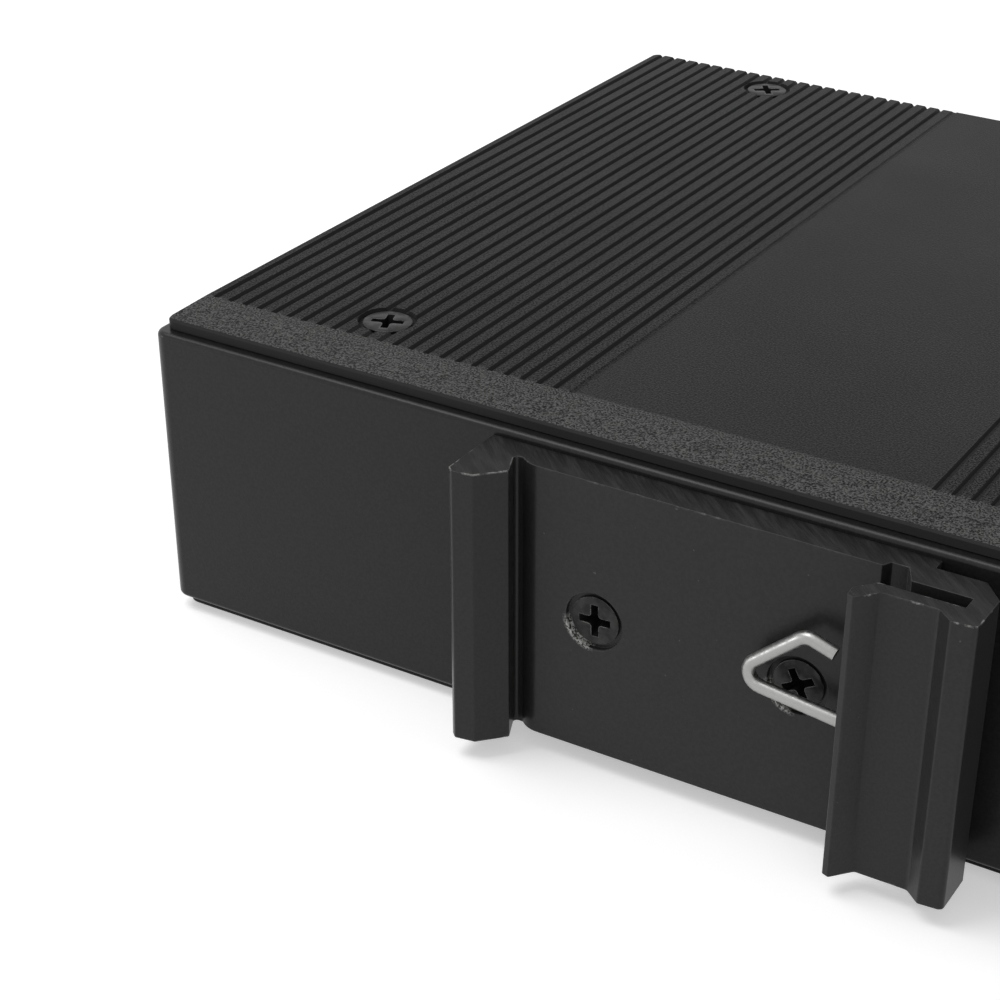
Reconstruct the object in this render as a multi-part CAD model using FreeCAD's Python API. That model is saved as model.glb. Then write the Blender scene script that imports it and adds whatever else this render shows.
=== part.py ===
# DIN-rail Ethernet switch, lying on its lower side cover.
# +X runs up the mounted unit, +Y out of the port face, -Y to the rail, +Z across its width.
# The origin is the centre of the lower cover's underside. Millimetres.
import FreeCAD, Part
import math
import os

V = FreeCAD.Vector

# Housing
body_height = 112.8          # along X
body_depth = 95.3            # along Y
unit_width = 30.0            # along Z, over both covers
wall = 2.2
corner_r = 1.45              # upright corners of the housing
rim_r = 0.5                  # rounded rims beside the covers
inner_corner_r = 1.0
slide_gap = 0.2              # loose fit of parts in openings
screw_gap = 0.05             # radial room round a screw

# Side covers
cover_rim = 1.1              # edge of the cover that shows
cover_step = 1.4             # locating step inside the housing
shadow_gap = 0.1             # gap between the cover's rim and the housing
cover_inset_end = 0.8
cover_inset_depth = 1.05
cover_corner_r = 1.0
cover_edge = 0.2             # chamfer of the cover's outer edge
rear_band = 5.9              # sloped band along the rear edge, free of grooves
rear_band_drop = 0.15
field_half = 16.6            # half of the plain field between the two grooved fields
groove_pitch = 1.645
groove_w = 0.62              # groove: width at the top and at its floor
groove_floor_w = 0.3
groove_depth = 0.32
first_groove_depth = 0.12    # the one beside the field's -X edge
groove_edge = 1.0            # least land outside the last groove

# Countersunk screws of the covers and the rail clip
screw_d = 2.5
screw_head_d = 4.5
head_sink = 0.15             # head below its face
sink_room = 0.45             # counterbore over a countersink: radial room and depth
sink_ledge = 0.5
cover_screw_len = 6.0
clip_screw_len = 8.0
cross_w = 0.85               # cross recess: arm width and span, depth of the arms and of the middle
cross_span = 3.1
cross_arm_depth = 0.45
cross_depth = 1.1
thread_room = 0.8            # depth of a tapped hole below its screw
boss_d = 6.6
boss_rib = 2.4
cover_screw_end = 18.1       # from the housing's ends
cover_screw_rear = 11.2      # from the housing's rear face
cover_screw_front = 5.6      # from its front face

# Rail clip: an extrusion along Z with a fixed hook (-X) and a slotted spring hook (+X)
rail_w = 35.0
clip_x = 1.0                 # rail centre line from the housing's centre
clip_len = 26.2
clip_plate = 3.05
clip_screw_pitch = 18.8
hook_web = 3.45              # fixed hook, from its root outwards
hook_root_play = 0.15
hook_proud = 7.45            # fixed hook over the housing
hook_bevel = 0.55
hook_flat = 1.9
hook_fall = 0.3              # fall of the hook's flat towards its tip
hook_tip_reach = 0.95        # overlap of the fixed hook on the rail
hook_tip_proud = 4.9
relief_depth = 0.75          # relief grooves beside both hooks
relief_w = 1.8               # fixed side: with its slope back up to the plate
relief_floor_w = 0.9
relief_ease = 2.5            # radius between the slope and the plate
relief_stop_w = 1.45         # spring side
relief_stop_rise = 0.4
stop_lean = 0.9              # lean of the spring side's stop face
slot_start = 4.1             # spring slot: height over the housing, width and depth
slot_w = 1.5
slot_len = 5.0
arm_wall = 1.3               # wall over the slot
lip_out = 1.75               # flared lip beyond the arm
lip_reach = 2.55
lip_tip = 0.75
lip_under = 0.35             # lip's inner corner over the arm
lip_lean = 0.1
lip_fall = 0.25
tongue_back = 1.1            # end of the arm, back from the rail's edge
ridge_top_w = 2.1            # thumb ridge at the outer corner
ridge_slope_w = 1.35
ridge_proud = 8.05
ridge_fall = 0.15
spring_hook_out = 25.25      # outer face of the spring hook from the rail centre
clip_back_step = 19.3        # where the back face leaves the housing
clip_back_relief = 1.3
clip_back_bevel = 1.8
clip_back_rise = 0.3
clip_corner_r = 0.35

# Wire spring in the clip's slot, in the plane of the slot
spring_d = 1.0
spring_bend_r = 1.3
spring_nose = (4.1, 0.5)     # from the rail centre and mid-width
spring_shoulder = (10.6, 6.1)
spring_end = (13.2, 5.25)
spring_heel = (21.3, -1.65)
spring_base_len = 7.6

# Circuit board and its lugs
board_t = 1.6
board_gap_end = 0.9
board_rear = 16.5            # board edge from the housing's rear face
board_front = 5.2            # board edge from the housing's front face
board_under = 4.5            # board underside over the lower cover's inner face
board_corner_r = 1.5
lug_t = 3.0
lug_reach = 3.6              # lug screw from the end wall's inner face
lug_rear_y = -25.0
lug_front_y = 4.0
board_screw_len = 4.6
board_screw_head_d = 4.6
board_screw_head_t = 1.7

# RJ45 jacks
jack_w = 16.0
jack_gap = 1.4               # between neighbouring jacks
jack_margin = 1.2            # first jack from the end wall
jack_h = 13.0
jack_depth = 21.2
jack_proud = 0.3             # jack face over the housing's front face
shield_t = 0.3
shield_fit = 0.05
socket_w = 11.9
socket_h = 6.8
socket_depth = 14.0
socket_floor = 3.5           # socket floor over the board
latch_w = 6.3
latch_h = 1.5
latch_key_w = 3.9
latch_key_h = 1.1
contact_count = 8
contact_pitch = 1.02
contact_w = 0.45
contact_t = 0.3
contact_drop = 2.1
contact_front = 2.6          # contact tip from the jack's face
contact_flat = 2.2
lens_w = 2.4                 # indicator windows in the jack's upper corners
lens_h = 1.4
lens_depth = 3.0
lens_edge = 0.6

# Power terminal: board header and pluggable screw block
pole_count = 3
pole_pitch = 5.08
power_margin = 0.63          # header from the end wall
header_side = 0.95
header_wall = 1.0
header_h = 12.0
header_depth = 11.0
header_back = 1.4
pin_w = 1.0
pin_reach = 7.0
pin_over_floor = 4.0
plug_h = 11.2
plug_w_room = 0.3            # plug inside its header, each side
plug_proud = 6.5
plug_edge_r = 0.5
plug_bevel_h = 1.6           # bevel over the screws: height and depth
plug_bevel_y = 1.2
plug_seam_w = 0.6            # grooves between the poles
plug_seam_depth = 0.5
wire_entry_w = 3.1
wire_entry_h = 3.5
wire_entry_depth = 8.0
wire_entry_low = 1.5         # wire entry over the plug's underside
clamp_t = 0.45
clamp_len = 3.4
clamp_inset = 2.6
plug_screw_d = 3.0
plug_screw_len = 6.2
plug_screw_sink = 1.2
plug_screw_slot = 0.6        # driver slot: width and depth
plug_slot_depth = 0.7
plug_screw_down = 2.9        # screw axis below the plug's top

# Power indicator
led_d = 3.0
led_flange_d = 3.5
led_flange_t = 1.0
led_body = 4.2
led_dome = 1.1
led_lead = 0.45
led_lead_pitch = 2.0
led_lead_run = 3.0

# Components on the board
chip_x, chip_y = -12.0, -10.0
chip_side = 10.0
chip_t = 1.2
chip_edge = 0.25
chip_lead_count = 11
chip_lead_pitch = 0.8
chip_lead_w = 0.35
chip_lead_t = 0.15
chip_lead_out = 1.0
tape_t = 0.25
sink_side = 14.0
sink_base = 2.0
sink_h = 7.0
sink_fin_count = 6
sink_fin_t = 1.1
trafo_w = 12.6
trafo_l = 8.6
trafo_h = 5.6
trafo_gap = 4.0              # between a transformer and its jack
can_d = 8.0
can_h = 11.0
can_ends = (7.5, 16.9)       # cans from the board's upper end
can_y = 18.0
coil_side = 10.0
coil_h = 4.8
coil_end = 13.3
coil_y = -4.0
coil_pad = 1.2
small_chip_t = 1.45
small_lead_count = 4
small_lead_pitch = 1.27
memory_w, memory_l = 4.9, 3.9
memory_away = (24.0, -4.0)   # from the switch controller
regulator_w, regulator_l = 6.5, 6.1
regulator_end = 26.3         # from the board's upper end
crystal_l, crystal_w, crystal_h = 11.0, 4.6, 3.5
crystal_away = -19.0         # from the switch controller
fuse_l, fuse_w, fuse_h = 7.3, 3.2, 2.2
fuse_y = 6.5

# Places that follow
rear_y = -body_depth / 2
front_y = body_depth / 2
end_x = body_height / 2
inner_rear_y = rear_y + wall
inner_front_y = front_y - wall
inner_end_x = end_x - wall
cover_t = cover_rim + cover_step
housing_low = cover_rim + shadow_gap
housing_high = unit_width - housing_low
mid_z = unit_width / 2
board_low = cover_t + board_under
board_top = board_low + board_t
board_end = inner_end_x - board_gap_end
power_half = pole_pitch * pole_count / 2 + header_side
power_x = inner_end_x - power_margin - power_half
power_top = board_top + header_h
jack_face_y = front_y + jack_proud
jack_top = board_top + jack_h
jack_pitch = jack_w + jack_gap
jack_first_x = -inner_end_x + jack_margin + jack_w / 2
jack_room = power_x - power_half - led_flange_d - (jack_first_x - jack_w / 2)
jack_count = int((jack_room + jack_gap) / jack_pitch)
jack_xs = [jack_first_x + jack_pitch * i for i in range(jack_count)]
socket_low = board_top + socket_floor
socket_top = socket_low + socket_h
led_x = (jack_xs[-1] + jack_w / 2 + power_x - power_half) / 2
pole_xs = [power_x + pole_pitch * (i - (pole_count - 1) / 2) for i in range(pole_count)]
plug_low = board_top + (header_h - plug_h) / 2
plug_top = plug_low + plug_h
plug_half = power_half - header_wall - plug_w_room
cover_screw_x = end_x - cover_screw_end
screw_spots = [(x, y) for x in (-cover_screw_x, cover_screw_x)
               for y in (rear_y + cover_screw_rear, front_y - cover_screw_front)]
lug_x = inner_end_x - lug_reach
lug_spots = [(x, y) for x in (-lug_x, lug_x) for y in (lug_rear_y, lug_front_y)]
slot_mid_y = rear_y - slot_start - slot_w / 2


# ---------------------------------------------------------------- shape helpers
def rounded(points, place, closed=True):
    """Wire through corners (a, b, r), each rounded by its radius; place(a, b) sets it in space."""
    count = len(points)
    ends = []
    for i, (a, b, r) in enumerate(points):
        here = V(a, b, 0)
        if r == 0 or (not closed and i in (0, count - 1)):
            ends.append((here, None, here))
            continue
        before = V(*points[i - 1][:2], 0) - here
        after = V(*points[(i + 1) % count][:2], 0) - here
        before.normalize()
        after.normalize()
        half = before.getAngle(after) / 2
        middle = before + after
        middle.normalize()
        reach = r / math.tan(half)
        crown = here + middle * (r / math.sin(half) - r)
        ends.append((here + before * reach, crown, here + after * reach))
    edges = []
    for i in range(count):
        start, crown, stop = ends[i]
        if crown is not None:
            edges.append(Part.Arc(*[place(p.x, p.y) for p in (start, crown, stop)]).toShape())
        if closed or i < count - 1:
            onward = ends[(i + 1) % count][0]
            if (onward - stop).Length > 1e-6:
                edges.append(Part.LineSegment(place(stop.x, stop.y), place(onward.x, onward.y)).toShape())
    return Part.Wire(edges)


def along_z(points, low, high):
    """Prism of an outline in XY between two heights."""
    return Part.Face(rounded(points, lambda a, b: V(a, b, low))).extrude(V(0, 0, high - low))


def along_x(points, left, right):
    """Prism of an outline in YZ between two X."""
    return Part.Face(rounded(points, lambda a, b: V(left, a, b))).extrude(V(right - left, 0, 0))


def along_y(points, rear, front):
    """Prism of an outline in XZ between two Y."""
    return Part.Face(rounded(points, lambda a, b: V(a, rear, b))).extrude(V(0, front - rear, 0))


def rectangle(a0, b0, a1, b1, r=0.0):
    """Corners of a rectangle with one corner radius."""
    return [(a0, b0, r), (a1, b0, r), (a1, b1, r), (a0, b1, r)]


def block(x0, y0, z0, x1, y1, z1):
    """Box between two corners."""
    return Part.makeBox(x1 - x0, y1 - y0, z1 - z0, V(x0, y0, z0))


def rod(at, toward, diameter, length):
    """Cylinder from a point along a direction."""
    return Part.makeCylinder(diameter / 2, length, at, toward)


def turned(points):
    """Solid turned about Z from (radius, height) points, the first and last on the axis."""
    wire = Part.makePolygon([V(r, 0, z) for r, z in points] + [V(points[0][0], 0, points[0][1])])
    return Part.Face(wire).revolve(V(0, 0, 0), V(0, 0, 1), 360)


def placed(shape, at, toward):
    """Copy of a shape built along +Z, moved to a point and turned to a direction."""
    copy = shape.copy()
    copy.Placement = FreeCAD.Placement(at, FreeCAD.Rotation(V(0, 0, 1), toward))
    return copy


def mirrored_low(shape):
    """Copy mirrored to the other side of the mid-width plane."""
    return shape.mirror(V(0, 0, mid_z), V(0, 0, 1))


def join(first, *others):
    """Fused solid with its coplanar faces merged."""
    return first.fuse(list(others)).removeSplitter()


# ---------------------------------------------------------------- screws
def flat_screw(length):
    """Countersunk screw with a cross recess, head face at z = 0 and shank down."""
    head, shank = screw_head_d / 2, screw_d / 2
    body = turned([(0, 0), (head, 0), (shank, shank - head), (shank, -length), (0, -length)])
    w, s = cross_w / 2, cross_span / 2
    cross = [(w, w), (w, s), (-w, s), (-w, w), (-s, w), (-s, -w), (-w, -w), (-w, -s), (w, -s), (w, -w),
             (s, -w), (s, w)]
    arms = along_z([(a, b, 0) for a, b in cross], -cross_arm_depth, 1)
    return body.cut(arms).cut(block(-w, -w, -cross_depth, w, w, 0))


def countersink(depth):
    """Tool for a flat screw's seat, its mouth at z = 0, with a through hole of the given depth."""
    head, hole = screw_head_d / 2, screw_d / 2 + screw_gap * 3
    mouth, seat = head + sink_room, head - (sink_ledge - head_sink)
    over = 1.0
    return turned([(0, over), (mouth, over), (mouth, -sink_ledge), (seat, -sink_ledge),
                   (hole, hole - seat - sink_ledge), (hole, -depth), (0, -depth)])


def tapped(length):
    """Tool for a tapped hole that takes a shank of the given length, its mouth at z = 0."""
    return Part.makeCylinder(screw_d / 2 + screw_gap, length + thread_room, V(0, 0, 0), V(0, 0, -1))


# ---------------------------------------------------------------- side covers
def upper_cover():
    """Grooved cover plate with a locating step, sloped rear band and countersunk holes."""
    half_x, half_y = end_x - cover_inset_end, front_y - cover_inset_depth
    low, top = unit_width - cover_rim, unit_width
    plate = along_z(rectangle(-half_x, -half_y, half_x, half_y, cover_corner_r), low, top)
    slope = along_x([(-half_y - 1, top + 1, 0), (-half_y - 1, top - rear_band_drop, 0),
                     (-half_y, top - rear_band_drop, 0), (-half_y + rear_band, top, 0),
                     (-half_y + rear_band, top + 1, 0)], -end_x, end_x)
    plate = plate.cut(slope)
    rim = [e for e in plate.Edges if e.BoundBox.ZMin > top - rear_band_drop - 0.01
           and (abs(abs(e.CenterOfMass.x) - half_x) < cover_corner_r * 0.5
                or abs(abs(e.CenterOfMass.y) - half_y) < cover_corner_r * 0.5)]
    plate = plate.makeChamfer(cover_edge, rim)
    fit_x, fit_y = inner_end_x - slide_gap, inner_front_y - slide_gap
    step = along_z(rectangle(-fit_x, -fit_y, fit_x, fit_y, inner_corner_r), low - cover_step, low)
    cover = join(plate, step)
    # Grooves run out through the front edge and stop at the sloped band.
    start = -half_y + rear_band
    runs = int((half_x - groove_edge - field_half) / groove_pitch) + 1
    tools = []
    for i in range(runs):
        for side in (-1, 1):
            middle = side * (field_half + i * groove_pitch)
            depth = first_groove_depth if i == 0 and side < 0 else groove_depth
            mouth, floor, sunk = groove_w / 2, groove_floor_w / 2, top - depth
            tools.append(along_y([(middle - mouth, top, 0), (middle - floor, sunk, 0),
                                  (middle + floor, sunk, 0), (middle + mouth, top, 0)], start, front_y))
    for x, y in screw_spots:
        tools.append(placed(countersink(cover_t + 1), V(x, y, top), V(0, 0, 1)))
    return cover.cut(Part.makeCompound(tools))


def upper_cover_screws():
    """Four countersunk screws of the upper cover."""
    screw = flat_screw(cover_screw_len)
    return [placed(screw, V(x, y, unit_width - head_sink), V(0, 0, 1)) for x, y in screw_spots]


# ---------------------------------------------------------------- housing
def pad(x, y, wall_y, low, high):
    """Square pad round a screw, grown out of the wall in front of it."""
    return block(x - boss_d / 2, y - boss_d / 2, low, x + boss_d / 2, wall_y, high)


def housing():
    """Cast ring with rounded rims, screw posts, board lugs and the port face's windows."""
    ring = along_z(rectangle(-end_x, rear_y, end_x, front_y, corner_r), housing_low, housing_high)
    rims = [e for e in ring.Edges if abs(e.BoundBox.ZLength) < 1e-6]
    ring = ring.makeFillet(rim_r, rims)
    room = along_z(rectangle(-inner_end_x, inner_rear_y, inner_end_x, inner_front_y, inner_corner_r),
                   housing_low - 1, housing_high + 1)
    ring = ring.cut(room)
    low, high = cover_t, unit_width - cover_t
    bite = wall / 2
    added = []
    for x, y in screw_spots:
        if y < 0:
            added.append(rod(V(x, y, low), V(0, 0, 1), boss_d, high - low))
            added.append(block(x - boss_rib / 2, inner_rear_y - bite, low, x + boss_rib / 2, y, high))
        else:
            added.append(pad(x, y, inner_front_y + bite, low, board_low - slide_gap * 2))
            added.append(pad(x, y, inner_front_y + bite, max(jack_top, power_top) + slide_gap * 3, high))
    for x, y in lug_spots:
        r = boss_d / 2
        left = lug_x - r if x > 0 else -inner_end_x - bite
        added.append(block(left, y - r, board_low - lug_t, left + lug_reach + r + bite, y + r, board_low))
    boss_len = clip_screw_len - clip_plate + thread_room + wall / 2
    for x in clip_screw_xs():
        added.append(rod(V(x, inner_rear_y - bite, mid_z), V(0, 1, 0), boss_d, boss_len - wall + bite))
    ring = join(ring, *added)
    tools = []
    for x, y in screw_spots:
        reach = cover_screw_len - cover_t
        tools.append(placed(tapped(reach), V(x, y, high), V(0, 0, 1)))
        tools.append(placed(tapped(reach), V(x, y, low), V(0, 0, -1)))
    for x, y in lug_spots:
        tools.append(rod(V(x, y, board_low - lug_t - 1), V(0, 0, 1), screw_d + 2 * screw_gap, lug_t + 2))
    for x in clip_screw_xs():
        tools.append(placed(tapped(clip_screw_len - clip_plate), V(x, rear_y, mid_z), V(0, -1, 0)))
    for x in jack_xs:
        half = jack_w / 2 + slide_gap
        tools.append(block(x - half, inner_front_y - 1, board_top - slide_gap,
                           x + half, front_y + 1, jack_top + slide_gap))
    half = power_half - header_wall + slide_gap
    tools.append(block(power_x - half, inner_front_y - 1, plug_low - slide_gap * 2,
                       power_x + half, front_y + 1, plug_top + slide_gap * 2))
    tools.append(rod(V(led_x, inner_front_y - 1, mid_z), V(0, 1, 0), led_d + slide_gap, wall + 2))
    return ring.cut(Part.makeCompound(tools))


# ---------------------------------------------------------------- rail clip
def clip_screw_xs():
    """X of the two screws through the clip."""
    return [clip_x - clip_screw_pitch / 2, clip_x + clip_screw_pitch / 2]


def clip_section():
    """Section of the extrusion as (x from the rail centre, height over the housing, radius)."""
    r = clip_corner_r
    half = rail_w / 2
    root = -half - hook_root_play
    outer = root - hook_web
    floor = clip_plate - relief_depth
    slot_top = slot_start + slot_w
    arm_top = slot_top + arm_wall
    stop = half + stop_lean
    out = spring_hook_out
    ridge_in = out - ridge_top_w
    fixed_hook = [
        (outer, 0, 0), (outer, hook_proud - hook_bevel, r * 0.7),
        (outer + hook_bevel, hook_proud, r), (outer + hook_bevel + hook_flat, hook_proud - hook_fall, r),
        (-half + hook_tip_reach, hook_tip_proud, r * 0.6),
        (root, floor, r), (root + relief_floor_w, floor, r), (root + relief_w, clip_plate, relief_ease)]
    stop_side = [
        (half - relief_stop_w - relief_stop_rise, clip_plate, r * 0.5), (half - relief_stop_w, floor, r * 0.5),
        (half, floor, 0), (stop, slot_start, r * 0.4)]
    slot = [
        (stop + slot_len, slot_start, 0), (stop + slot_len, slot_top, 0),
        (half - tongue_back, slot_top, r)]
    lip = [
        (half - lip_reach, arm_top + lip_under, r),
        (half - lip_reach + lip_lean, arm_top + lip_out - lip_fall, r * 0.5),
        (half - lip_reach + lip_tip, arm_top + lip_out, r * 0.6), (half - lip_fall, arm_top, r * 1.5)]
    ridge = [
        (ridge_in - ridge_slope_w, arm_top, r * 2), (ridge_in, ridge_proud, r),
        (out, ridge_proud - ridge_fall, r * 1.4)]
    back = [
        (out, clip_back_relief + clip_back_bevel + clip_back_rise, r), (out - clip_back_bevel, clip_back_relief, r),
        (clip_back_step, clip_back_relief, 0), (clip_back_step, 0, 0)]
    return fixed_hook + stop_side + slot + lip + ridge + back


def rail_clip():
    """Sawn length of the clip extrusion with two countersunk holes."""
    low = mid_z - clip_len / 2
    section = [(clip_x + a, rear_y - b, r) for a, b, r in clip_section()]
    clip = along_z(section, low, low + clip_len)
    tools = [placed(countersink(clip_plate + 1), V(x, rear_y - clip_plate, mid_z), V(0, -1, 0))
             for x in clip_screw_xs()]
    return clip.cut(Part.makeCompound(tools))


def rail_clip_screws():
    """Two countersunk screws that hold the clip."""
    screw = flat_screw(clip_screw_len)
    face = rear_y - clip_plate + head_sink
    return [placed(screw, V(x, face, mid_z), V(0, -1, 0)) for x in clip_screw_xs()]


def rail_spring():
    """Bent wire: its nose stands over the rail's edge and its base lies in the clip's slot."""
    r = spring_bend_r
    base = (spring_heel[0], spring_heel[1] - spring_base_len)
    corners = [(*spring_end, 0), (*spring_shoulder, r), (*spring_nose, r), (*spring_heel, r * 0.8), (*base, 0)]
    path = rounded(corners, lambda a, b: V(clip_x + a, slot_mid_y, mid_z + b), closed=False)
    start = V(clip_x + spring_end[0], slot_mid_y, mid_z + spring_end[1])
    heading = path.Edges[0].tangentAt(path.Edges[0].FirstParameter)
    ring = Part.Wire(Part.makeCircle(spring_d / 2, start, heading))
    return path.makePipeShell([ring], True, False)


# ---------------------------------------------------------------- board
def circuit_board():
    """Board on four lugs, with holes for its screws."""
    board = along_z(rectangle(-board_end, rear_y + board_rear, board_end, front_y - board_front, board_corner_r),
                    board_low, board_top)
    tools = [rod(V(x, y, board_low - 1), V(0, 0, 1), screw_d + slide_gap * 2, board_t + 2)
             for x, y in lug_spots]
    return board.cut(Part.makeCompound(tools))


def board_screws():
    """Four plain-headed screws through the board into the lugs."""
    head, shank = board_screw_head_d / 2, screw_d / 2
    screw = turned([(0, board_screw_head_t), (head, board_screw_head_t), (head, 0), (shank, 0),
                    (shank, -board_screw_len), (0, -board_screw_len)])
    return [placed(screw, V(x, y, board_top), V(0, 0, 1)) for x, y in lug_spots]


# ---------------------------------------------------------------- RJ45 jacks
def socket_outline(x):
    """Mouth of an RJ45 socket with its latch way towards the board."""
    w, n, k = socket_w / 2, latch_w / 2, latch_key_w / 2
    z, z1 = socket_low, socket_low - latch_h
    z2 = z1 - latch_key_h
    return [(x - w, socket_top, 0), (x - w, z, 0), (x - n, z, 0), (x - n, z1, 0), (x - k, z1, 0),
            (x - k, z2, 0), (x + k, z2, 0), (x + k, z1, 0), (x + n, z1, 0), (x + n, z, 0),
            (x + w, z, 0), (x + w, socket_top, 0)]


def lens_boxes(x, room):
    """Places of a jack's two indicator windows, grown by a clearance."""
    low = jack_top - shield_t - lens_edge - lens_h
    boxes = []
    for side in (-1, 1):
        mid = x + side * (jack_w / 2 - shield_t - lens_edge - lens_w / 2)
        boxes.append(block(mid - lens_w / 2 - room, jack_face_y - lens_depth - room, low - room,
                           mid + lens_w / 2 + room, jack_face_y + room, low + lens_h + room))
    return boxes


def port_shield(x):
    """Folded metal shield, open underneath, with the socket's window in its face."""
    rear = jack_face_y - jack_depth
    half = jack_w / 2
    shell = block(x - half, rear, board_top, x + half, jack_face_y, jack_top)
    room = block(x - half + shield_t, rear + shield_t, board_top - 1,
                 x + half - shield_t, jack_face_y - shield_t, jack_top - shield_t)
    window = along_y(socket_outline(x), jack_face_y - 1, jack_face_y + 1)
    return shell.cut(Part.makeCompound([room, window] + lens_boxes(x, shield_fit)))


def port_insert(x):
    """Moulded insert of a jack with its stepped socket."""
    rear = jack_face_y - jack_depth + shield_t + shield_fit
    front = jack_face_y - shield_t - shield_fit
    half = jack_w / 2 - shield_t - shield_fit
    body = block(x - half, rear, board_top, x + half, front, jack_top - shield_t - shield_fit)
    socket = along_y(socket_outline(x), jack_face_y - socket_depth, jack_face_y + 1)
    return body.cut(Part.makeCompound([socket] + lens_boxes(x, shield_fit)))


def port_contacts():
    """Spring contacts of all the sockets, bent down from each socket's roof."""
    tip = jack_face_y - contact_front
    bend = tip - contact_flat
    root = jack_face_y - socket_depth
    drop = socket_top - contact_drop
    section = [(tip, socket_top, 0), (tip - contact_t, socket_top - contact_t, 0), (root, drop - contact_t, 0),
               (root, drop, 0), (bend, socket_top, 0)]
    contacts = []
    for x in jack_xs:
        for i in range(contact_count):
            left = x + contact_pitch * (i - (contact_count - 1) / 2) - contact_w / 2
            contacts.append(along_x(section, left, left + contact_w))
    return contacts


# ---------------------------------------------------------------- power terminal
def power_header():
    """Board header: a shroud, open to the front, that takes the screw block."""
    front = inner_front_y - slide_gap
    rear = front - header_depth
    shroud = along_y(rectangle(power_x - power_half, board_top, power_x + power_half, power_top, 0.3),
                     rear, front)
    half = power_half - header_wall
    room = block(power_x - half, rear + header_back, board_top + header_wall,
                 power_x + half, front + 1, power_top - header_wall)
    pins = [block(x - pin_w / 2, rear - 1, pin_z() - pin_w / 2, x + pin_w / 2, front, pin_z() + pin_w / 2)
            for x in pole_xs]
    return shroud.cut(Part.makeCompound([room] + pins))


def pin_z():
    """Height of the header's pins."""
    return board_top + pin_over_floor


def power_header_pins():
    """Bent pins from the board through the header's back wall."""
    back = inner_front_y - slide_gap - header_depth
    low, w = pin_z() - pin_w / 2, pin_w
    section = [(back - w, board_top, 0), (back, board_top, 0), (back, low, 0), (back + pin_reach, low, 0),
               (back + pin_reach, low + w, 0), (back - w, low + w, 0)]
    return [along_x(section, x - w / 2, x + w / 2) for x in pole_xs]


def power_plug():
    """Pluggable screw block with a wire entry and a screw well for each pole."""
    front = front_y + plug_proud
    rear = inner_front_y - slide_gap - header_depth + header_back + plug_w_room
    r = plug_edge_r
    tongue_low, tongue_top = board_top + header_wall + plug_w_room, power_top - header_wall - plug_w_room
    collar = inner_front_y
    body = along_x([(rear, tongue_low, 0), (collar, tongue_low, 0), (collar, plug_low, 0),
                    (front, plug_low, r), (front, plug_top - plug_bevel_h, r), (front - plug_bevel_y, plug_top, r),
                    (collar, plug_top, 0), (collar, tongue_top, 0), (rear, tongue_top, 0)],
                   power_x - plug_half, power_x + plug_half)
    tools = []
    for i, x in enumerate(pole_xs):
        low = plug_low + wire_entry_low
        tools.append(block(x - wire_entry_w / 2, front - wire_entry_depth, low,
                           x + wire_entry_w / 2, front + 1, low + wire_entry_h))
        tools.append(rod(V(x, front - plug_screw_sink - plug_screw_len, plug_top - plug_screw_down),
                         V(0, 1, 0), plug_screw_d + 2 * screw_gap, plug_screw_len + plug_screw_sink + 1))
        tools.append(block(x - pin_w / 2 - screw_gap, rear - 1, pin_z() - pin_w / 2 - screw_gap,
                           x + pin_w / 2 + screw_gap, rear + pin_reach, pin_z() + pin_w / 2 + screw_gap))
        if i:
            edge = x - pole_pitch / 2
            half = plug_seam_w / 2
            tools.append(along_z([(edge - half, front, 0), (edge, front - plug_seam_depth, 0),
                                  (edge + half, front, 0)], plug_low - 1, plug_top + 1))
    return body.cut(Part.makeCompound(tools))


def power_plug_screws():
    """Slotted clamp screws in the block's wells."""
    r = plug_screw_d / 2
    top = front_y + plug_proud - plug_screw_sink
    screw = turned([(0, 0), (r, 0), (r, -plug_screw_len), (0, -plug_screw_len)])
    screw = screw.cut(block(-r - 1, -plug_screw_slot / 2, -plug_slot_depth, r + 1, plug_screw_slot / 2, 1))
    return [placed(screw, V(x, top, plug_top - plug_screw_down), V(0, 1, 0)) for x in pole_xs]


def power_plug_clamps():
    """Folded clamp cages behind the wire entries."""
    front = front_y + plug_proud - clamp_inset
    low = plug_low + wire_entry_low
    room = screw_gap
    cages = []
    for x in pole_xs:
        x0, x1 = x - wire_entry_w / 2 + room, x + wire_entry_w / 2 - room
        z0, z1 = low, low + wire_entry_h - room
        shell = block(x0, front - clamp_len, z0, x1, front, z1)
        hole = block(x0 + clamp_t, front - clamp_len - 1, z0 + clamp_t, x1 - clamp_t, front + 1, z1 - clamp_t)
        cages.append(shell.cut(hole))
    return cages


# ---------------------------------------------------------------- indicators
def port_lenses():
    """Indicator windows in the upper corners of every jack."""
    return [lens for x in jack_xs for lens in lens_boxes(x, 0.0)]


def power_led():
    """Round indicator lamp behind the port face, its dome outside."""
    r, flange = led_d / 2, led_flange_d / 2
    lamp = turned([(0, 0), (flange, 0), (flange, led_flange_t), (r, led_flange_t), (r, led_body),
                   (r * 0.75, led_body + led_dome * 0.75), (0, led_body + led_dome)])
    return placed(lamp, V(led_x, led_back(), mid_z), V(0, 1, 0))


def led_back():
    """Y of the indicator lamp's back."""
    return inner_front_y - slide_gap - led_flange_t


def power_led_leads():
    """Two leads bent down from the lamp to the board."""
    y, t = led_back(), led_lead
    section = [(y, mid_z + t / 2, 0), (y - led_lead_run, mid_z + t / 2, 0), (y - led_lead_run, board_top, 0),
               (y - led_lead_run + t, board_top, 0), (y - led_lead_run + t, mid_z - t / 2, 0),
               (y, mid_z - t / 2, 0)]
    return [along_x(section, led_x + side * led_lead_pitch / 2 - t / 2, led_x + side * led_lead_pitch / 2 + t / 2)
            for side in (-1, 1)]


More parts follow.
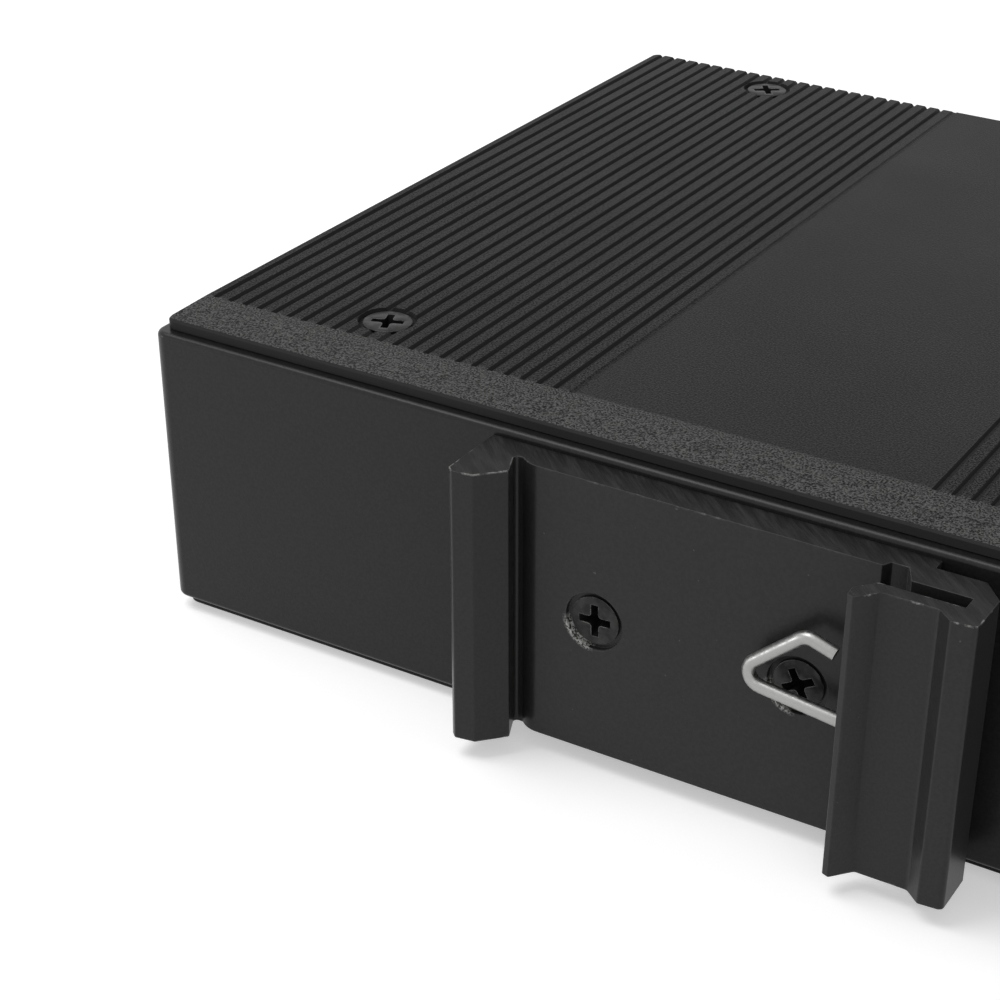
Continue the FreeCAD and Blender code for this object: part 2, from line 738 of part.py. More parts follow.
# ---------------------------------------------------------------- components
def gull_chip(place, width, length, thick, leads, pitch, both_ways):
    """Moulded chip with tapered sides and gull-wing leads on two or four sides."""
    x, y = place
    low = board_top + chip_lead_t
    shapes = []
    w, d = width / 2, length / 2
    lower = Part.makePolygon([V(x + a, y + b, low) for a, b in
                              ((-w, -d), (w, -d), (w, d), (-w, d), (-w, -d))])
    wi, di = w - chip_edge, d - chip_edge
    upper = Part.makePolygon([V(x + a, y + b, low + thick) for a, b in
                              ((-wi, -di), (wi, -di), (wi, di), (-wi, di), (-wi, -di))])
    shapes.append(Part.makeLoft([lower, upper], True, True))
    reach = chip_lead_out
    knee = low + thick * 0.4
    lead = [(-chip_edge, low, 0), (-chip_edge, knee, 0), (reach * 0.4, knee, 0), (reach, low, 0),
            (reach, board_top, 0), (reach * 0.4, board_top, 0)]
    for side in (-1, 1):
        for i in range(leads):
            spot = pitch * (i - (leads - 1) / 2) - chip_lead_w / 2
            section = [(y + side * (d + a), b, 0) for a, b, _ in lead]
            shapes.append(along_x(section, x + spot, x + spot + chip_lead_w))
            if both_ways:
                section = [(x + side * (w + a), b, 0) for a, b, _ in lead]
                shapes.append(along_y(section, y + spot, y + spot + chip_lead_w))
    return join(*shapes)


def switch_chip():
    """Four-sided switch controller."""
    return gull_chip((chip_x, chip_y), chip_side, chip_side, chip_t, chip_lead_count, chip_lead_pitch, True)


def power_regulator():
    """Voltage regulator beside the inductor."""
    return gull_chip((board_end - regulator_end, coil_y), regulator_w, regulator_l, small_chip_t,
                     small_lead_count, small_lead_pitch, False)


def memory_chip():
    """Settings memory beside the switch controller."""
    return gull_chip((chip_x + memory_away[0], chip_y + memory_away[1]), memory_w, memory_l, small_chip_t,
                     small_lead_count, small_lead_pitch, False)


def chip_top():
    """Height of the switch controller's top."""
    return board_top + chip_lead_t + chip_t


def thermal_tape():
    """Adhesive tape between the controller and its heat sink."""
    half = chip_side / 2 - chip_edge - slide_gap
    return block(chip_x - half, chip_y - half, chip_top(), chip_x + half, chip_y + half, chip_top() + tape_t)


def chip_heatsink():
    """Extruded finned heat sink."""
    low = chip_top() + tape_t
    half = sink_side / 2
    gap = (sink_side - sink_fin_t) / (sink_fin_count - 1)
    section = [(chip_x - half, low, 0), (chip_x + half, low, 0)]
    for i in range(sink_fin_count - 1, -1, -1):
        left = chip_x - half + i * gap
        section += [(left + sink_fin_t, low + sink_base, 0)] if i < sink_fin_count - 1 else []
        section += [(left + sink_fin_t, low + sink_h, 0), (left, low + sink_h, 0)]
        section += [(left, low + sink_base, 0)] if i else []
    return along_y(section, chip_y - half, chip_y + half)


def port_transformers():
    """Isolation transformer module behind each jack."""
    front = jack_face_y - jack_depth - trafo_gap
    return [block(x - trafo_w / 2, front - trafo_l, board_top, x + trafo_w / 2, front, board_top + trafo_h)
            for x in jack_xs]


def filter_capacitors():
    """Electrolytic cans, standing on the board."""
    return [rod(V(board_end - away, can_y, board_top), V(0, 0, 1), can_d, can_h) for away in can_ends]


def power_inductor():
    """Shielded inductor with a round core in a chamfered square base."""
    x, y = board_end - coil_end, coil_y
    h, c = coil_side / 2, coil_side / 5
    base = along_z([(x - h, y - h + c, 0), (x - h + c, y - h, 0), (x + h - c, y - h, 0), (x + h, y - h + c, 0),
                    (x + h, y + h - c, 0), (x + h - c, y + h, 0), (x - h + c, y + h, 0), (x - h, y + h - c, 0)],
                   board_top, board_top + coil_h - coil_pad)
    core = rod(V(x, y, board_top), V(0, 0, 1), coil_side * 0.9, coil_h)
    return join(base, core)


def crystal():
    """Low metal crystal can with a base flange."""
    x, y = chip_x + crystal_away, chip_y
    flange = along_z(rectangle(x - crystal_l / 2, y - crystal_w / 2, x + crystal_l / 2, y + crystal_w / 2,
                               crystal_w * 0.49), board_top, board_top + 0.5)
    a, b = crystal_l / 2 - 0.45, crystal_w / 2 - 0.45
    can = along_z(rectangle(x - a, y - b, x + a, y + b, b * 0.98), board_top, board_top + crystal_h)
    return join(flange, can)


def input_fuse():
    """Surface-mount fuse block."""
    x, y = board_end - regulator_end, fuse_y
    return along_x([(y - fuse_w / 2, board_top, 0), (y + fuse_w / 2, board_top, 0),
                    (y + fuse_w / 2, board_top + fuse_h, 0.3), (y - fuse_w / 2, board_top + fuse_h, 0.3)],
                   x - fuse_l / 2, x + fuse_l / 2)


# ---------------------------------------------------------------- write the parts
parts = {
    "housing": [housing()],
    "upper_cover": [upper_cover()],
    "lower_cover": [mirrored_low(upper_cover())],
    "upper_cover_screws": upper_cover_screws(),
    "lower_cover_screws": [mirrored_low(s) for s in upper_cover_screws()],
    "rail_clip": [rail_clip()],
    "rail_clip_screws": rail_clip_screws(),
    "rail_spring": [rail_spring()],
    "circuit_board": [circuit_board()],
    "board_screws": board_screws(),
    "port_contacts": port_contacts(),
    "port_lenses": port_lenses(),
    "power_header": [power_header()],
    "power_header_pins": power_header_pins(),
    "power_plug": [power_plug()],
    "power_plug_screws": power_plug_screws(),
    "power_plug_clamps": power_plug_clamps(),
    "power_led": [power_led()],
    "power_led_leads": power_led_leads(),
    "switch_chip": [switch_chip()],
    "thermal_tape": [thermal_tape()],
    "chip_heatsink": [chip_heatsink()],
    "port_transformers": port_transformers(),
    "filter_capacitors": filter_capacitors(),
    "power_inductor": [power_inductor()],
    "power_regulator": [power_regulator()],
    "memory_chip": [memory_chip()],
    "crystal": [crystal()],
    "input_fuse": [input_fuse()],
}
for number, jack_x in enumerate(jack_xs, 1):
    parts[f"port_{number}_shield"] = [port_shield(jack_x)]
    parts[f"port_{number}_insert"] = [port_insert(jack_x)]

os.makedirs("parts", exist_ok=True)
for name, solids in parts.items():
    shape = solids[0] if len(solids) == 1 else Part.makeCompound(solids)
    shape.exportStep(f"parts/{name}.step")
    print(f"{name}: {len(shape.Solids)} solid(s), {shape.Volume / 1000:.3f} cm3, valid {shape.isValid()}")
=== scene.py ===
import math
import bmesh
import bpy
from mathutils import Matrix, Vector


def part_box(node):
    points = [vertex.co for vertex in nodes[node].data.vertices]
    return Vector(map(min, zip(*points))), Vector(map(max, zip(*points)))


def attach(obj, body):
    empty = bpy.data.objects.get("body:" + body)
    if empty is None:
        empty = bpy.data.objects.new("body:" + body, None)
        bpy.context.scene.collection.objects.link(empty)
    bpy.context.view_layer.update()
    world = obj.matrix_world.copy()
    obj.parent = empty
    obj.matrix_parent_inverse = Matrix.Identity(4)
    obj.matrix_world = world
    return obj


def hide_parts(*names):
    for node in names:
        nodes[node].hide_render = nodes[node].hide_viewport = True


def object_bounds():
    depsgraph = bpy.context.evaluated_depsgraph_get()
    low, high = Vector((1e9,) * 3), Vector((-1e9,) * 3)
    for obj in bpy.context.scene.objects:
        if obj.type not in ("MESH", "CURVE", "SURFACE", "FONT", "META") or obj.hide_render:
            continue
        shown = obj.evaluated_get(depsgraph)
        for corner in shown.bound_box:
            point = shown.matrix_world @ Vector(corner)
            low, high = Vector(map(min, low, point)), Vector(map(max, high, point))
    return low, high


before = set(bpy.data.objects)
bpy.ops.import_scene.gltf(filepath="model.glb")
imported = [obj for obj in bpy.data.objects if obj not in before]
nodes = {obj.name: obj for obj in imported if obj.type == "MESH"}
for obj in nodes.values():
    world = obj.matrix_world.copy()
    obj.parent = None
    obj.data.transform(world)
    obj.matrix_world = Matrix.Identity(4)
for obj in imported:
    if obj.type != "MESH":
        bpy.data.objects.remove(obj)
cad_low, cad_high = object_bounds()


# ---------------------------------------------------------------- studio
# A white sweep under even light from all round, and the camera above the rear left corner.
# The sweep is white to the eye and in reflections, and keeps the unit's shadow.
def added(name, data):
    """New object, linked into the scene."""
    made = bpy.data.objects.new(name, data)
    bpy.context.scene.collection.objects.link(made)
    return made


camera_data = bpy.data.cameras.new("camera")
camera_data.sensor_width = 36.0
camera_data.lens = 80.392
camera_data.shift_x = -0.12267
camera_data.shift_y = 0.1147
camera_data.clip_start = 0.01
camera_right = Vector((0.87385325, 0.48547901, 0.02627986))
camera_up = Vector((-0.27216002, 0.44366150, 0.85386966))
camera_back = Vector((0.40287644, -0.75330910, 0.51982303))
camera_place = Vector((0.068805, -0.189956, 0.112663))
camera_turn = Matrix((camera_right, camera_up, camera_back)).transposed().to_4x4()
camera = added("camera", camera_data)
camera.matrix_world = Matrix.Translation(camera_place) @ camera_turn
bpy.context.scene.camera = camera
bpy.context.scene.view_settings.view_transform = "Standard"


def feed(tree, value, socket):
    """Links an output to an input, or sets a number or colour as the input's own value."""
    if hasattr(value, "links"):
        tree.links.new(value, socket)
    elif socket.type == "RGBA":
        socket.default_value = (*value, 1)
    else:
        socket.default_value = value


def math_node(tree, operation, first, second=None):
    """Math node on sockets or numbers; returns its output."""
    made = tree.nodes.new("ShaderNodeMath")
    made.operation = operation
    feed(tree, first, made.inputs[0])
    if second is not None:
        feed(tree, second, made.inputs[1])
    return made.outputs[0]


def grey(tone):
    """Neutral colour."""
    return (tone, tone, tone)


def bright_when_seen(tree, plain, bright, surface):
    """Shows one shader to the eye and in reflections, and another to all other light."""
    ray = tree.nodes.new("ShaderNodeLightPath").outputs
    seen = math_node(tree, "MAXIMUM", ray["Is Camera Ray"], ray["Is Glossy Ray"])
    seen = math_node(tree, "MAXIMUM", seen, ray["Is Transmission Ray"])
    mix = tree.nodes.new("ShaderNodeMixShader")
    feed(tree, seen, mix.inputs["Fac"])
    feed(tree, plain.outputs[0], mix.inputs[1])
    feed(tree, bright.outputs[0], mix.inputs[2])
    feed(tree, mix.outputs[0], surface)


sky_strength = 0.45
surroundings = bpy.data.worlds.new("surroundings")
bpy.context.scene.world = surroundings
surroundings.use_nodes = True
tree = surroundings.node_tree
tree.nodes.clear()
sky_seen = tree.nodes.new("ShaderNodeBackground")
sky_light = tree.nodes.new("ShaderNodeBackground")
for sky, strength in ((sky_seen, 1.0), (sky_light, sky_strength)):
    feed(tree, grey(1.0), sky.inputs["Color"])
    feed(tree, strength, sky.inputs["Strength"])
sky_out = tree.nodes.new("ShaderNodeOutputWorld")
bright_when_seen(tree, sky_light, sky_seen, sky_out.inputs["Surface"])


def soft_lamp(name, place, size, watts):
    """Square soft box aimed at the middle of the unit."""
    light = bpy.data.lights.new(name, "AREA")
    light.shape = "SQUARE"
    light.size = size
    light.energy = watts
    lamp = added(name, light)
    lamp.location = place
    aim = (cad_low + cad_high) / 2 - Vector(place)
    lamp.rotation_euler = aim.to_track_quat("-Z", "Y").to_euler()


soft_lamp("lamp_over", (-0.34, -0.2, 0.85), 0.5, 3.6)
soft_lamp("lamp_low", (-0.75, -0.5, 0.12), 0.3, 1.3)
soft_lamp("lamp_rear", (0.35, -0.75, 0.45), 0.35, 0.5)

floor_reach = 3.0
floor_below = 0.00005
paper_tone = grey(0.86)
paper_strength = 0.4
floor_mesh = bpy.data.meshes.new("floor")
floor_mesh.from_pydata([(-floor_reach, -floor_reach, 0), (floor_reach, -floor_reach, 0),
                        (floor_reach, floor_reach, 0), (-floor_reach, floor_reach, 0)],
                       [], [(0, 1, 2, 3)])
floor = added("floor", floor_mesh)
floor.location.z = cad_low.z - floor_below
paper = bpy.data.materials.new("paper")
paper.use_nodes = True
tree = paper.node_tree
tree.nodes.clear()
paper_matt = tree.nodes.new("ShaderNodeBsdfDiffuse")
feed(tree, paper_tone, paper_matt.inputs["Color"])
paper_glow = tree.nodes.new("ShaderNodeEmission")
feed(tree, grey(1.0), paper_glow.inputs["Color"])
feed(tree, paper_strength, paper_glow.inputs["Strength"])
paper_lit = tree.nodes.new("ShaderNodeAddShader")
feed(tree, paper_matt.outputs[0], paper_lit.inputs[0])
feed(tree, paper_glow.outputs[0], paper_lit.inputs[1])
paper_out = tree.nodes.new("ShaderNodeOutputMaterial")
bright_when_seen(tree, paper_matt, paper_lit, paper_out.inputs["Surface"])
floor_mesh.materials.append(paper)


# ---------------------------------------------------------------- housing
# Die-formed aluminium ring round the four narrow sides, powder coated satin black.
# Its rims are rolled over beside both covers, and the paint softens every edge.
def coated(mesh, *materials):
    """Gives a mesh its materials in place of those it has."""
    mesh.materials.clear()
    for material in materials:
        mesh.materials.append(material)


same_point = 2e-6
flat_within = math.radians(1)


def softened(name, node, slot, radius, *materials, sharpest=30):
    """Copy of a CAD node, in its place, with edges over an angle in degrees rounded."""
    mesh = bmesh.new()
    mesh.from_mesh(nodes[node].data)
    bmesh.ops.remove_doubles(mesh, verts=mesh.verts, dist=same_point)
    bmesh.ops.dissolve_limit(mesh, angle_limit=flat_within, verts=mesh.verts, edges=mesh.edges)
    made = bpy.data.meshes.new(name)
    mesh.to_mesh(made)
    mesh.free()
    made.shade_smooth()
    piece = added(name, made)
    rounding = piece.modifiers.new("rounding", "BEVEL")
    rounding.width = radius
    rounding.segments = 2
    rounding.limit_method = "ANGLE"
    rounding.angle_limit = math.radians(sharpest)
    rounding.use_clamp_overlap = True
    rounding.miter_outer = "MITER_ARC"
    rounding.harden_normals = False
    shading = piece.modifiers.new("shading", "WEIGHTED_NORMAL")
    shading.keep_sharp = False
    shading.weight = 100
    graph = bpy.context.evaluated_depsgraph_get()
    final = bpy.data.meshes.new_from_object(piece.evaluated_get(graph))
    piece.modifiers.clear()
    piece.data = final
    final.name = name
    coated(final, *materials)
    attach(piece, "root")
    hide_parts(node)
    return piece


def group(name, inputs, outputs):
    """Empty shader node group with named sockets; returns it with its two end nodes."""
    made = bpy.data.node_groups.new(name, "ShaderNodeTree")
    for socket, value in inputs:
        made_socket = made.interface.new_socket(socket, in_out="INPUT", socket_type="NodeSocketFloat")
        made_socket.default_value = value
    for socket in outputs:
        made.interface.new_socket(socket, in_out="OUTPUT", socket_type="NodeSocketFloat")
    return made, made.nodes.new("NodeGroupInput").outputs, made.nodes.new("NodeGroupOutput").inputs


def object_place(tree):
    """Object coordinates."""
    return tree.nodes.new("ShaderNodeTexCoord").outputs["Object"]


def noise_node(tree, scale, detail=2.0, roughness=0.5, vector=None):
    """Noise on object coordinates or on a given vector; returns its factor."""
    made = tree.nodes.new("ShaderNodeTexNoise")
    feed(tree, object_place(tree) if vector is None else vector, made.inputs["Vector"])
    feed(tree, scale, made.inputs["Scale"])
    feed(tree, detail, made.inputs["Detail"])
    feed(tree, roughness, made.inputs["Roughness"])
    return made.outputs["Fac"]


def ramp(tree, value, low, high, to_low=0.0, to_high=1.0):
    """Linear map of a value between two limits, clamped."""
    made = tree.nodes.new("ShaderNodeMapRange")
    feed(tree, value, made.inputs["Value"])
    feed(tree, low, made.inputs["From Min"])
    feed(tree, high, made.inputs["From Max"])
    feed(tree, to_low, made.inputs["To Min"])
    feed(tree, to_high, made.inputs["To Max"])
    return made.outputs["Result"]


def product(tree, *values):
    """Product of two or more sockets or numbers."""
    result = values[0]
    for value in values[1:]:
        result = math_node(tree, "MULTIPLY", result, value)
    return result


# Powder grain: the coat's pebbles, the flecks that they make and a slow cloud. Flecks and cloud
# are the middle of their noise's range, stretched over 0 to 1.
powder, start, end = group("powder_grain", [("Grains per metre", 3500.0)], ["Height", "Fleck", "Cloud"])
clouds_per_metre = 60.0
pebble = noise_node(powder, start["Grains per metre"], 1.5, 0.55)
feed(powder, pebble, end["Height"])
feed(powder, ramp(powder, pebble, 0.38, 0.62), end["Fleck"])
feed(powder, ramp(powder, noise_node(powder, clouds_per_metre), 0.3, 0.7), end["Cloud"])

# Worn edge: 1 where an edge is sharp and the noise has rubbed through. An edge counts as sharp
# where the surface turns away from its own rounded-off normal.
worn, start, end = group(
    "worn_edge", [("Width", 0.0002), ("Patches per metre", 900.0), ("Amount", 0.5)], ["Mask"])
rounded = worn.nodes.new("ShaderNodeBevel")
rounded.samples = 6
feed(worn, start["Width"], rounded.inputs["Radius"])
across = worn.nodes.new("ShaderNodeVectorMath")
across.operation = "DOT_PRODUCT"
feed(worn, worn.nodes.new("ShaderNodeNewGeometry").outputs["Normal"], across.inputs[0])
feed(worn, rounded.outputs["Normal"], across.inputs[1])
edge = ramp(worn, across.outputs["Value"], 0.995, 0.90)
patch = noise_node(worn, start["Patches per metre"], 4.0, 0.65)
chance = math_node(worn, "ADD", patch, math_node(worn, "SUBTRACT", start["Amount"], 1.0))
feed(worn, product(worn, edge, ramp(worn, chance, 0.0, 0.08)), end["Mask"])


def place_group(tree, made, **values):
    """Group node in a material, with values for its inputs."""
    node = tree.nodes.new("ShaderNodeGroup")
    node.node_tree = made
    for socket, value in values.items():
        feed(tree, value, node.inputs[socket.replace("_", " ")])
    return node.outputs


def mix_colour(tree, fac, first, second):
    """Mix of two colours; returns the result."""
    made = tree.nodes.new("ShaderNodeMix")
    made.data_type = "RGBA"
    colours_in = [socket for socket in made.inputs if socket.type == "RGBA"]
    feed(tree, fac, made.inputs["Factor"])
    feed(tree, first, colours_in[0])
    feed(tree, second, colours_in[1])
    return next(socket for socket in made.outputs if socket.type == "RGBA")


def bump(tree, height, depth):
    """Bump node; returns its normal."""
    made = tree.nodes.new("ShaderNodeBump")
    feed(tree, 1.0, made.inputs["Strength"])
    feed(tree, depth, made.inputs["Distance"])
    feed(tree, height, made.inputs["Height"])
    return made.outputs["Normal"]


def plain_material(name, roughness, metallic=0.0, ior=1.5):
    """Material with its Principled shader; returns material, tree and the shader's inputs."""
    made = bpy.data.materials.new(name)
    made.use_nodes = True
    finish = made.node_tree.nodes["Principled BSDF"].inputs
    finish["Roughness"].default_value = roughness
    finish["Metallic"].default_value = metallic
    finish["IOR"].default_value = ior
    return made, made.node_tree, finish


def powder_coat(name, ior, roughness, grains=3500.0):
    """Powder coat with its uneven gloss; returns material, tree, shader's inputs and grain."""
    made, tree, finish = plain_material(name, roughness, ior=ior)
    grain = place_group(tree, powder, Grains_per_metre=grains)
    feed(tree, ramp(tree, grain["Cloud"], 0, 1, roughness - 0.03, roughness + 0.03), finish["Roughness"])
    return made, tree, finish, grain


def rubbed_bare(tree, paint):
    """Paint rubbed through to bare aluminium at its sharpest edges."""
    rub = place_group(tree, worn, Amount=0.1, Width=0.00015)
    return mix_colour(tree, rub["Mask"], paint, bare_aluminium)


housing_dark, housing_light = grey(0.012), grey(0.016)
bare_aluminium = (0.16, 0.16, 0.155)
housing_edge_radius = 0.00012
paint_depth = 0.00001
housing_paint, tree, finish, grain = powder_coat("housing_paint", ior=1.3, roughness=0.3)
paint = mix_colour(tree, grain["Fleck"], housing_dark, housing_light)
feed(tree, rubbed_bare(tree, paint), finish["Base Color"])
feed(tree, bump(tree, grain["Height"], paint_depth), finish["Normal"])
softened("housing_shell", "housing", "black_paint", housing_edge_radius, housing_paint)


# ---------------------------------------------------------------- side covers
# Two cast plates with fine grooves, let into the housing by a step and powder coated with a
# coarser grain than the housing. The grain stands highest on the rear band and fades to the front.
def split(tree, vector):
    """X, Y and Z of a vector."""
    made = tree.nodes.new("ShaderNodeSeparateXYZ")
    feed(tree, vector, made.inputs["Vector"])
    return made.outputs


def absolute(tree, value):
    """Size of a value without its sign."""
    return math_node(tree, "ABSOLUTE", value)


cover_low, cover_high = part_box("upper_cover")
band_edge = cover_low.y + 0.0059
field_half_w = 0.0162
cover_middle_z = (cad_low.z + cad_high.z) / 2
cover_face_z = (cad_high.z - cad_low.z) / 2
cover_edge_radius = 0.0001
pebble_depth = 0.0002
field_dark, field_light = grey(0.001), grey(0.046)
band_dark, band_light = grey(0.006), (0.115, 0.115, 0.113)
# Painted light: paler tone for the grooves and side faces, to lift their shade.
groove_painted_light_tone = grey(0.029)

cover_paint, tree, finish, grain = powder_coat("cover_paint", ior=1.11, roughness=0.42, grains=5600.0)
axes = split(tree, object_place(tree))
facing = split(tree, tree.nodes.new("ShaderNodeNewGeometry").outputs["True Normal"])
outside = ramp(tree, absolute(tree, facing["Z"]), 0.7, 0.9)
on_band = product(tree, ramp(tree, axes["Y"], band_edge + 0.0004, band_edge - 0.0001), outside)
fade = ramp(tree, axes["Y"], band_edge, cover_high.y, 1.0, 0.3)
ribbed = ramp(tree, absolute(tree, axes["X"]), field_half_w, field_half_w + 0.0003, 0.6, 1.4)

# Flecks of the field and the ribs, round a middle tone.
contrast = product(tree, fade, outside, ribbed)
swing = product(tree, math_node(tree, "SUBTRACT", grain["Fleck"], 0.5), contrast)
field = mix_colour(tree, math_node(tree, "ADD", swing, 0.5), field_dark, field_light)

# Painted light: the grooves and the side faces under the rims get a paler tone, lifting the shade that
# falls in them.
off_middle = absolute(tree, math_node(tree, "SUBTRACT", axes["Z"], cover_middle_z))
groove_painted_light = ramp(tree, off_middle, cover_face_z - 0.00022, cover_face_z - 0.00006, 1.0, 0.0)
field = mix_colour(tree, groove_painted_light, field, groove_painted_light_tone)
band = mix_colour(tree, grain["Fleck"], band_dark, band_light)
feed(tree, rubbed_bare(tree, mix_colour(tree, on_band, field, band)), finish["Base Color"])

# The pebbles stand full height on the band, lower on the field and nearly flat on the edges.
strength = math_node(tree, "MAXIMUM", product(tree, fade, ribbed, 0.8), on_band)
strength = product(tree, strength, ramp(tree, outside, 0, 1, 0.1, 1.0))
feed(tree, bump(tree, product(tree, grain["Height"], strength), pebble_depth), finish["Normal"])

for node in ("upper_cover", "lower_cover"):
    softened(node + "_plate", node, "black_paint", cover_edge_radius, cover_paint)


# ---------------------------------------------------------------- rail clip
# Sawn length of a black extruded profile, held by two screws; its cut ends show saw marks and
# bare burrs.
clip_low, clip_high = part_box("rail_clip")
clip_middle_z = (clip_low.z + clip_high.z) / 2
clip_end_z = (clip_high.z - clip_low.z) / 2
hook_y = clip_low.y + 0.0042
back_y = clip_high.y - 0.0018
fixed_hook_x = clip_low.x + 0.0065
seats_low, seats_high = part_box("rail_clip_screws")
head_radius = 0.00225
clip_dark, clip_light = grey(0.016), grey(0.02)
cut_dark, cut_light = grey(0.009), grey(0.028)
rubbed_tone = grey(0.12)
bare_burr = (0.42, 0.42, 0.40)

# Saw marks: slanting ridges across the profile's cut ends, drawn out along the blade's path.
sawn, start, end = group("saw_marks", [("Marks per metre", 1500.0)], ["Height"])
lean = sawn.nodes.new("ShaderNodeVectorRotate")
lean.inputs["Angle"].default_value = math.radians(-48)
feed(sawn, object_place(sawn), lean.inputs["Vector"])
stretch = sawn.nodes.new("ShaderNodeVectorMath")
stretch.operation = "MULTIPLY"
stretch.inputs[1].default_value = (1.0, 0.15, 0.3)
feed(sawn, lean.outputs["Vector"], stretch.inputs[0])
ridges = noise_node(sawn, start["Marks per metre"], 3.0, 0.6, stretch.outputs["Vector"])
feed(sawn, ridges, end["Height"])

# Specks: small bright knocks and dust, scattered by noise.
specks, start, end = group("specks", [("Per metre", 1500.0), ("Amount", 0.3)], ["Mask"])
dot = noise_node(specks, start["Per metre"], 1.0)
limit = math_node(specks, "SUBTRACT", 1.0, start["Amount"])
feed(specks, ramp(specks, math_node(specks, "SUBTRACT", dot, limit), 0.0, 0.03), end["Mask"])

# Chipped ring: broken paint round one side of a countersink, on the side that catches the light, so partly
# a painted highlight.
chips_lit_group, start, end = group("chipped_lit_ring", [("Centre X", 0.0), ("Centre Z", 0.0)], ["Mask"])
axes = split(chips_lit_group, object_place(chips_lit_group))
off_x = math_node(chips_lit_group, "SUBTRACT", axes["X"], start["Centre X"])
off_z = math_node(chips_lit_group, "SUBTRACT", axes["Z"], start["Centre Z"])
squares = math_node(chips_lit_group, "ADD", product(chips_lit_group, off_x, off_x), product(chips_lit_group, off_z, off_z))
radius = math_node(chips_lit_group, "SQRT", squares)
ring = product(chips_lit_group, ramp(chips_lit_group, radius, 0.0023, 0.0026), ramp(chips_lit_group, radius, 0.0031, 0.0028))
side = math_node(chips_lit_group, "DIVIDE", math_node(chips_lit_group, "ADD", off_x, off_z), radius)
flake = ramp(chips_lit_group, noise_node(chips_lit_group, 4200.0, 3.0, 0.7), 0.46, 0.54)
feed(chips_lit_group, product(chips_lit_group, ring, ramp(chips_lit_group, side, -1.0, -1.3), flake), end["Mask"])


def cut_burr(tree, axes):
    """Bare burr along a cut end: most on the fixed hook, some on both hooks, none on the back."""
    amount = math_node(tree, "ADD", ramp(tree, axes["Y"], hook_y, hook_y - 0.0006, 0.4, 0.47),
                       ramp(tree, axes["X"], fixed_hook_x, fixed_hook_x - 0.0015, 0.0, 0.08))
    burr = place_group(tree, worn, Width=0.00022, Patches_per_metre=600.0, Amount=amount)
    off_back = ramp(tree, axes["Y"], back_y, back_y - 0.0007)
    on_hook = ramp(tree, axes["Y"], hook_y, hook_y - 0.0006, 0.4, 1.0)
    return product(tree, burr["Mask"], off_back, on_hook)


clip_paint, tree, finish, grain = powder_coat("clip_paint", ior=1.31, roughness=0.32)
axes = split(tree, object_place(tree))
off_middle = absolute(tree, math_node(tree, "SUBTRACT", axes["Z"], clip_middle_z))
near_cut = ramp(tree, off_middle, clip_end_z - 0.0005, clip_end_z - 0.0002)
rubbed = place_group(tree, worn, Amount=0.5, Width=0.00028, Patches_per_metre=400.0)
dots = place_group(tree, specks, Per_metre=2200.0, Amount=0.2)
bare = product(tree, cut_burr(tree, axes), near_cut)
# Partly painted highlight: bright chips on the lit side of each countersink.
for seat_x in (seats_low.x + head_radius, seats_high.x - head_radius):
    chips_and_highlight = place_group(tree, chips_lit_group, Centre_X=seat_x, Centre_Z=clip_middle_z)
    bare = math_node(tree, "MAXIMUM", bare, chips_and_highlight["Mask"])
paint = mix_colour(tree, grain["Fleck"], clip_dark, clip_light)
paint = mix_colour(tree, product(tree, rubbed["Mask"], 0.35), paint, rubbed_tone)
paint = mix_colour(tree, product(tree, dots["Mask"], 0.3), paint, bare_aluminium)
feed(tree, mix_colour(tree, bare, paint, bare_burr), finish["Base Color"])
feed(tree, bump(tree, grain["Height"], paint_depth), finish["Normal"])

saw_mark_depth = 0.00016
sawn_end, tree, finish, _ = powder_coat("sawn_end", ior=1.22, roughness=0.5)
cut = place_group(tree, sawn)
paint = mix_colour(tree, ramp(tree, cut["Height"], 0.45, 0.75), cut_dark, cut_light)
bare = cut_burr(tree, split(tree, object_place(tree)))
feed(tree, mix_colour(tree, bare, paint, bare_burr), finish["Base Color"])
feed(tree, bump(tree, cut["Height"], saw_mark_depth), finish["Normal"])

clip_edge_radius = 0.00006
square_to_end = 0.97
clip = softened("rail_clip_profile", "rail_clip", "black_paint", clip_edge_radius, clip_paint, sawn_end)
for face in clip.data.polygons:
    face.material_index = 1 if abs(face.normal.z) > square_to_end else 0


# ---------------------------------------------------------------- screws
# Countersunk cross-recess screws of blackened steel, which hold the clip and both covers to the
# housing; the board's own small screws are zinc plated.
def metal(name, tone, roughness, scratch, grains=2500.0):
    """Bare or plated metal with fine scratches."""
    made, tree, finish = plain_material(name, roughness, metallic=1.0)
    grain = place_group(tree, powder, Grains_per_metre=grains)
    feed(tree, mix_colour(tree, grain["Cloud"], [part * 0.85 for part in tone], tone), finish["Base Color"])
    feed(tree, ramp(tree, grain["Fleck"], 0, 1, roughness - 0.06, roughness + 0.06), finish["Roughness"])
    feed(tree, bump(tree, grain["Height"], scratch), finish["Normal"])
    return made


def dress(node, material):
    """Gives a CAD node its material."""
    coated(nodes[node].data, material)


# Blackened steel: nearly black, with a faint oily gloss, and rubbed edges that are partly real wear and
# partly a painted highlight on the heads' rims.
oxide_dark, oxide_light = grey(0.015), (0.038, 0.038, 0.037)
oxide_wear_and_highlight = (0.24, 0.24, 0.235)
oxide_grain_depth = 0.00001
screw_black, tree, finish = plain_material("screw_black", roughness=0.36, ior=1.24)
grain = place_group(tree, powder, Grains_per_metre=2400.0)
